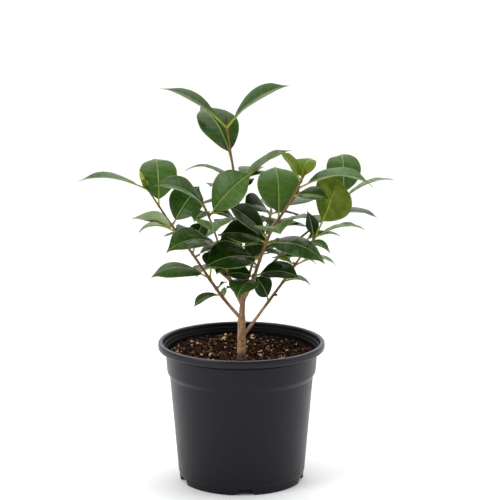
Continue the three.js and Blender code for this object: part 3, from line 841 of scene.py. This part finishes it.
# %% Leaves: the sprays at the back
# Twigs stand by turns to either side of the way their limb's sprays face. Each carries two side
# leaves and one at its tip, and what would leave the crown or touch another limb or its leaves is
# skipped. A blade's room is a row of balls whose radius is a share of its width. The leaves of all
# sprays have the same turn, arch, fold and stalk.
TWIG_LENGTH = (14, 22)
SPRAY_LEAF_LENGTH = (36, 54)
SPRAY_LEAF_SHAPE = 0.56
SIDE_LEAF_ANGLE = 52
SPRAY_LEAF_BEND = (0, 50, 10, 6)
BALL_SHARE = 0.2
BALL_STEP = 6
LIMB_ROOM = 3
TWIG_ROOM = 1
CROWN_MIDDLE = (-3, 6, 262)
CROWN_REACH = (165, 98, 145)
MULTIPLIER = 16807
MODULUS = 2147483647


def seeded_numbers(seed):
    """Numbers between two limits that look random and are the same in every run."""
    state = seed

    def vary(limits):
        nonlocal state
        state = (state * MULTIPLIER) % MODULUS
        return limits[0] + (limits[1] - limits[0]) * state / MODULUS
    return vary


def joint_at(name, height):
    path = LIMBS[name]["path"]
    return line_at(path, share_at(path, height))


def heading(bearing, climb, length):
    """A step on a bearing from the right and a climb, both in degrees."""
    level = length * math.cos(math.radians(climb))
    turn = math.radians(bearing)
    return Vector((level * math.cos(turn), level * math.sin(turn), length * math.sin(math.radians(climb))))


def points_along(foot, reach):
    count = math.ceil(reach.length / BALL_STEP)
    return [foot + reach * ((k + 1) / count) for k in range(count)]


def in_crown(point):
    off = [(point[k] - CROWN_MIDDLE[k]) / CROWN_REACH[k] for k in range(3)]
    return math.hypot(*off) < 1


def taken_room():
    """The room already taken: a row of balls along every limb and every leaf that has a row."""
    room = []
    for name, limb in LIMBS.items():
        room.append((name, [line_at(limb["path"], k / 40) for k in range(41)], LIMB_ROOM))
        for owner, height, right, back, up, width, *_ in LEAVES:
            if owner == name:
                points = points_along(joint_at(name, height), Vector((right, back, up)))
                room.append((name, points, width * BALL_SHARE))
    return room


def fits(room, name, foot, reach, half):
    """Takes this room if it is free and inside the crown."""
    points = points_along(foot, reach)
    free = all(
        owner == name or all((near - point).length > half + other for near in balls)
        for owner, balls, other in room for point in points)
    if free and in_crown(points[-1]):
        room.append((name, points, half))
        return True
    return False


def grow_sprays(name, room):
    """Twigs as (foot, reach), and leaves as (joint, sizes)."""
    sprays = LIMBS[name]["sprays"]
    vary = seeded_numbers(sprays["seed"])
    twigs, leaves = [], []
    for k in range(sprays["count"]):
        rise = (sprays["to"] - sprays["from"]) * k / (sprays["count"] - 1)
        foot = joint_at(name, sprays["from"] + rise)
        bearing = sprays["facing"] + (1 if k % 2 == 0 else -1) * sprays["swing"] * vary((0.3, 1))
        reach = heading(bearing, vary((5, 35)), vary(TWIG_LENGTH))
        grown = fits(room, name, foot, reach, TWIG_ROOM)
        if grown:
            twigs.append((foot, reach))
        for share, side in ((0.35, 1), (0.7, -1), (1, 0)):
            length = vary(SPRAY_LEAF_LENGTH)
            width = length * SPRAY_LEAF_SHAPE
            way = heading(bearing + side * SIDE_LEAF_ANGLE, vary((-25, 20)), length)
            joint = foot + reach * (share * 0.97)
            if grown and fits(room, name, joint, way, width * BALL_SHARE):
                leaves.append((joint, (*way, width, *SPRAY_LEAF_BEND)))
    return twigs, leaves


room = taken_room()
SPRAYS = {name: grow_sprays(name, room) for name, limb in LIMBS.items() if "sprays" in limb}
print("sprays:", {name: (len(twigs), len(leaves)) for name, (twigs, leaves) in SPRAYS.items()})

# %% Bark: boughs and stems
JOINTS = {name: sorted(row[1] for row in LEAVES if row[0] == name) for name in LIMBS}
BOUGH_STEP = 1.3
JOINT_SWELLING = (1.6, 0.28)
STUB_RADII = (1.3, 1.25, 1.1, 1.05, 1.1, 1.2, 1.05)
TWIG_RADII = [1.2 - 0.04 * k for k in range(11)]
GREEN_SHARE = 0.3


def bough_points(name, start, end):
    """Centres of the rings of a stretch of a limb."""
    path = LIMBS[name]["path"]
    places = [line_at(path, k / 60) for k in range(61)]
    length = sum((after - before).length for before, after in zip(places, places[1:])) * (end - start)
    count = max(4, int(length / BOUGH_STEP))
    return [line_at(path, start + (end - start) * k / count) for k in range(count + 1)]


def grow_bough(bm, name, start, end, sides, look):
    """A stretch of a limb, swollen at its leaf joints."""
    first, last = LIMBS[name]["radii"]
    swell = swellings(JOINTS[name], *JOINT_SWELLING)
    centres = bough_points(name, start, end)
    shares = [start + (end - start) * k / (len(centres) - 1) for k in range(len(centres))]
    radii = [first + (last - first) * s + swell(c.z) for s, c in zip(shares, centres)]
    grow_stem(bm, centres, radii, sides, look, lambda p: 0.45 * bark_relief(p))


def bare_share(name):
    """Where a limb's bare stretch ends, along its line."""
    return share_at(LIMBS[name]["path"], LIMBS[name]["bareTo"])


# One limb has no bare stretch.
boughs = [name for name in LIMBS if bare_share(name) > 0.001]
for name in boughs:
    grow_bough(bm, name, 0, bare_share(name), 14, 1)
bark_piece = as_piece(bm, "trunk_and_boughs", bark_looks)
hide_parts("trunk", *[f"{name}_bough" for name in boughs])

bm = bmesh.new()
for name in LIMBS:
    start = bare_share(name)
    green = 1 - (1 - start) * GREEN_SHARE
    grow_bough(bm, name, start, green, 12, 2)
    grow_bough(bm, name, green, 1, 12, 3)
    for foot, reach in SPRAYS.get(name, ((), ()))[0]:
        centres = [foot + reach * (k / 10) for k in range(11)]
        grow_stem(bm, centres, TWIG_RADII, 10, 3, lambda p: 0.3 * bark_relief(p))
for name, height, *reach in SPURS:
    foot = joint_at(name, height)
    centres = [foot + Vector(reach) * (k / 6) for k in range(7)]
    grow_stem(bm, centres, STUB_RADII, 12, 2, lambda p: 0.5 * bark_relief(p))
stems = as_piece(bm, "leafy_stems", bark_looks)
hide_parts(*[f"{name}_leaves" for name in LIMBS])

# %% [markdown]
# ## The leaves
# A camellia leaf is thick and leathery: dark and glossy above, paler and dull below, with a sunk
# pale midrib, softly sunk side veins, a finely toothed pale edge and a tip that bends down. Each
# one starts as a flat grid. Its copy becomes the underside, and both are laid along the leaf's
# arched middle line, so that one row of sizes gives one leaf of the model and one real leaf.

# %% Leaves: shape
# SPREAD is where the columns of half a blade stand, from its midrib (0) to its edge (1). The
# numbers below it are millimetres, but for the count of side veins and the share of cupping.
LEAF_COLUMNS = 14
LEAF_ROWS = 66
LINE_STEPS = 40
SPREAD = (0, 0.22, 0.44, 0.66, 0.84, 0.955, 1)
SIDE_VEINS = 8.5
TOOTH = 0.32
VEIN_RISE = 0.09
CUPPING = 0.035
THICKNESS = 0.42
THINNING = 0.18


def blade_outline(u):
    """Half width of a blade as a share of its widest, from its foot (0) to its tip (1)."""
    if u <= 0 or u >= 1:
        return 0
    past = max(0, (u - 0.7) / 0.3)
    return math.sin(math.pi * u ** 0.93) ** 0.86 * (1 - 0.6 * past * past * (3 - 2 * past))


def middle_line(chord, arch):
    """Middle line of an arched leaf: along and above, from its joint to its tip."""
    points = [(0, 0)]
    for i in range(LINE_STEPS):
        angle = math.radians(arch) * (0.5 - ((i + 0.5) / LINE_STEPS) ** 1.4)
        points.append((points[i][0] + math.cos(angle), points[i][1] + math.sin(angle)))
    x, y = points[-1]
    scale = chord / (x * x + y * y)
    return [((a * x + b * y) * scale, (b * x - a * y) * scale) for a, b in points]


class Leaf:
    """Where a leaf lies: its joint, its middle line and the way its upper side faces."""

    def __init__(self, joint, sizes):
        right, back, up, self.width, turn, arch, fold, stalk = sizes
        self.joint = joint
        reach = Vector((right, back, up))
        self.along = reach.normalized()
        above = (Vector((0, 0, 1)) - self.along * self.along.z).normalized()
        to_front = self.along.cross(above)
        if to_front.y > 0:
            to_front.negate()
        self.lift = above * math.cos(math.radians(turn)) + to_front * math.sin(math.radians(turn))
        self.across = self.along.cross(self.lift)
        self.line = middle_line(reach.length, arch)
        self.fold = math.radians(fold)
        step = math.hypot(*self.line[1])
        self.length = step * LINE_STEPS
        self.foot = stalk / self.length

    def at(self, share):
        """Centre and upward direction at a share of the whole length."""
        scaled = min(max(share, 0), 1) * LINE_STEPS
        i = min(int(scaled), LINE_STEPS - 1)
        (x0, y0), (x1, y1) = self.line[i], self.line[i + 1]
        x, y = x0 + (x1 - x0) * (scaled - i), y0 + (y1 - y0) * (scaled - i)
        slope = Vector((x1 - x0, y1 - y0)).normalized()
        return self.joint + self.along * x + self.lift * y, self.lift * slope.x - self.along * slope.y


def leaf_point(leaf, column, row, under, wave):
    """One corner of a blade, in millimetres. Columns run from edge to edge across the midrib."""
    u = row / LEAF_ROWS
    centre, normal = leaf.at(leaf.foot + (1 - leaf.foot) * u)
    side = column - LEAF_COLUMNS // 2
    half = max(blade_outline(u) * leaf.width / 2, 0.75 * (1 - 6 * u), 0.1)
    rib = min(half * 0.6, 0.55 * (1 - 0.6 * u))
    spread = SPREAD[max(abs(side) - 1, 0)]
    reach = 0 if side == 0 else rib + (half - rib) * spread
    if abs(side) == LEAF_COLUMNS // 2 and 0.06 < u < 0.97:
        reach += TOOTH * ((row % 3) / 2 - 0.4)
    vein = math.cos(2 * math.pi * (u * SIDE_VEINS - 0.9 * spread ** 1.2 + wave[2]))
    veined = math.sin(math.pi * spread) if side else 0
    rise = VEIN_RISE * vein * veined + CUPPING * half * veined
    rise += wave[0] * spread ** 2 * math.sin(2 * math.pi * (u * wave[1] + (0.5 if side > 0 else 0) + wave[2]))
    rise *= min(1, u * 6, (1 - u) * 5 + 0.2)
    thick = THICKNESS - THINNING * spread
    if under:
        rise -= thick / 2 + (0.35 * (1 - u) if side == 0 else 0)
    else:
        rise += thick / 2 - (0.25 * (1 - u) if side == 0 else 0)
    outward = (1 if side > 0 else -1) * reach
    return (
        centre + leaf.across * outward * math.cos(leaf.fold)
        + normal * (reach * math.sin(leaf.fold) + rise))


def grow_leaf(bm, leaf, top_look, under_look):
    """One blade: a grid for the underside and its raised copy for the top, joined at the edge."""
    uv = bm.loops.layers.uv["blade"]
    wave = (random.uniform(0.2, 0.9), random.uniform(1, 2.2), random.random())
    grid = bmesh.ops.create_grid(bm, x_segments=LEAF_COLUMNS, y_segments=LEAF_ROWS, size=0.5)["verts"]
    low_faces = {f for c in grid for f in c.link_faces}
    low_edges = {e for c in grid for e in c.link_edges}
    raised = bmesh.ops.extrude_face_region(
        bm, geom=[*grid, *low_edges, *low_faces], use_keep_orig=True)["geom"]
    high = {g for g in raised if isinstance(g, bmesh.types.BMVert)}
    faces = {f for c in [*grid, *high] for f in c.link_faces}
    for face in faces:
        tops = [c in high for c in face.verts]
        column = abs(sum(c.co.x for c in face.verts) / len(face.verts) * LEAF_COLUMNS)
        if all(tops):
            outermost = column > LEAF_COLUMNS / 2 - 1
            face.material_index = MIDRIB if column < 1 else EDGE if outermost else top_look
        else:
            face.material_index = under_look if not any(tops) else EDGE
        for loop in face.loops:
            loop[uv].uv = (loop.vert.co.x + 0.5, loop.vert.co.y + 0.5)
    for corner in [*grid, *high]:
        column = round((corner.co.x + 0.5) * LEAF_COLUMNS)
        row = round((corner.co.y + 0.5) * LEAF_ROWS)
        corner.co = leaf_point(leaf, column, row, corner not in high, wave) * MM
    bmesh.ops.recalc_face_normals(bm, faces=list(faces))


# %% Finish: leaves
def leaf_top(name, deep, full, gloss, ior=1.23):
    """Upper side: glossy, slightly mottled, with pale hairlines along the side veins."""
    look = Finish(name, gloss, IOR=ior, Coat_Weight=0.02, Coat_Roughness=0.18)
    blade = look.node("ShaderNodeUVMap", {"uv_map": "blade"}, {})
    parts = look.node("ShaderNodeSeparateXYZ", {}, {"Vector": blade})
    across = abs(parts - 0.5) * 2
    along = look.node("ShaderNodeSeparateXYZ", {}, {"Vector": blade}, "Y")
    bend = across ** 1.2
    phase = (along * SIDE_VEINS - 0.9 * bend).part()
    vein = 1 - abs(phase - 0.5).step(0.02, 0.07)
    vein = vein * (1 - across.step(0.75, 0.95))
    mottle = look.noise(5, detail=4)
    fine = look.noise(0.8, detail=3)
    base = look.mix(mottle.step(0.2, 0.8), shade(*deep), shade(*full))
    look.set("Base Color", look.mix(vein * 0.16, base, shade(*[min(255, v * 1.5 + 12) for v in full])))
    look.set("Roughness", gloss - 0.03 + 0.06 * mottle)
    look.bump(fine * 0.5 - vein, 0.05)
    return look.material


def leaf_part(name, deep, full, roughness):
    """Duller parts, mottled between two colours."""
    look = Finish(name, roughness, IOR=1.25)
    mottle = look.noise(9, detail=2)
    look.set("Base Color", look.mix(mottle.step(0.3, 0.7), shade(*deep), shade(*full)))
    look.set("Roughness", roughness - 0.05 + 0.1 * mottle)
    look.bump(look.noise(0.9, detail=3), 0.08)
    return look.material


# The dark, deep and mid greens are partly real differences in tone and partly lit and shaded copies of one
# leaf: the dark one is painted shade on the low leaves, and deep and mid stand for leaves in the light.
leaf_looks = [
    leaf_top("leaf_dark_tone_and_shade", (15, 36, 2), (27, 52, 6), 0.26, 1.16),
    leaf_top("leaf_deep", (38, 65, 15), (52, 82, 26), 0.26),
    leaf_top("leaf_mid", (56, 84, 29), (72, 101, 42), 0.28),
    leaf_top("leaf_young", (80, 102, 16), (102, 122, 30), 0.34, 1.18),
    leaf_part("leaf_underside", (124, 144, 98), (148, 166, 122), 0.6),
    leaf_part("young_underside", (82, 102, 14), (110, 126, 44), 0.5),
    leaf_part("midrib", (124, 142, 62), (150, 168, 84), 0.42),
    leaf_part("leaf_edge", (80, 106, 42), (108, 132, 62), 0.42),
    leaf_part("stalk", (134, 146, 40), (164, 172, 66), 0.42),
    leaf_part("bud_scale", (56, 74, 10), (92, 110, 26), 0.4),
    leaf_part("brown_bud", (88, 50, 32), (132, 84, 54), 0.5),
    leaf_top("leaf_dull", (46, 72, 12), (60, 90, 22), 0.34, 1.14),
]


# %% Leaves: grow each mass
BUD_SHAPE = 0.15
LONG_BUD = 10
BUD_STEPS = 14
STALK_STEPS = 18
MIDRIB_END = 0.62
SHADED_HEIGHT = 262
MASS_BEND = 75


def grow_bud(bm, foot, lean, radius, look):
    """A pointed bud, fattest a third of the way up, with overlapping scales."""
    centres = [foot + lean * (k / BUD_STEPS) for k in range(BUD_STEPS + 1)]
    radii = []
    for k in range(BUD_STEPS + 1):
        u = k / BUD_STEPS
        plump = math.sin(math.pi * min(1, u * 0.86 + 0.14)) ** 0.8
        radii.append(max(0.06, radius * plump * (1 + 0.09 * ((u * 4) % 1))))
    grow_stem(bm, centres, radii, 10, look)


def grow_stalk(bm, leaf):
    """The stalk, which runs on below the blade as its midrib."""
    end = leaf.foot + (1 - leaf.foot) * MIDRIB_END
    centres, radii = [], []
    for k in range(STALK_STEPS + 1):
        share = end * k / STALK_STEPS
        centre, normal = leaf.at(share)
        past = max(0, share - leaf.foot) / (end - leaf.foot)
        centres.append(centre - normal * (0.45 if share > leaf.foot else 0.45 * share / leaf.foot))
        radii.append(1.15 - 0.3 * min(1, share / leaf.foot) - 0.6 * past)
    grow_stem(bm, centres, radii, 8, STALK)


def leaves_of(name):
    """Joint, sizes and look of every leaf on a limb. Leaves low in the crown take the darkest finish, as
    painted shade.
    """
    for owner, height, *row in LEAVES:
        if owner == name:
            # Painted shade: leaves below this height take the darkest, least glossy green; higher ones get a
            # green at random.
            dealt = DARK_TONE_AND_SHADE if height < SHADED_HEIGHT else random.choice((DARK_TONE_AND_SHADE, DEEP, DEEP))
            yield joint_at(name, height), row[:8], row[8] if len(row) > 8 else dealt
    for joint, sizes in SPRAYS.get(name, ((), ()))[1]:
        yield joint, sizes, random.choice((DARK_TONE_AND_SHADE, DEEP, DEEP))


for name, limb in LIMBS.items():
    bm = bmesh.new()
    bm.loops.layers.uv.new("blade")
    for joint, sizes, look in leaves_of(name):
        leaf = Leaf(joint, sizes)
        grow_leaf(bm, leaf, look, YOUNG_UNDER if look == YOUNG else UNDER)
        grow_stalk(bm, leaf)
        bud_lean = (Vector((0, 0, 1)) + leaf.along * 0.7).normalized()
        grow_bud(bm, leaf.joint + bud_lean * 0.6, bud_lean * 3.4, 0.8, BUD)
    lean = Vector(limb["bud"])
    foot = line_at(limb["path"], 1) - lean.normalized() * 1.2
    radius = BUD_SHAPE * lean.length
    if lean.length > LONG_BUD:
        grow_bud(bm, foot, lean * 0.7, radius, BUD)
        grow_bud(bm, foot + lean * 0.3, lean * 0.75, radius * 0.6, STALK)
        grow_bud(bm, foot, Vector((0, -2, 0.45 * lean.length)), radius * 0.5, STALK)
    else:
        grow_bud(bm, foot, lean * 1.05, radius, BROWN_BUD)
    mass = as_piece(bm, f"{name}_foliage", leaf_looks, MASS_BEND)
    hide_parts(f"{name}_leaves")

# %% [markdown]
# ## Sizes
# The dressed plant has to be as large as the model, so both boxes are written down to compare.

# %% Write the sizes and finish
dressed_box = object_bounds()
[[list(corner) for corner in box] for box in (model_box, dressed_box)]
print("dressed box, mm:", [[round(v / MM, 1) for v in corner] for corner in dressed_box])
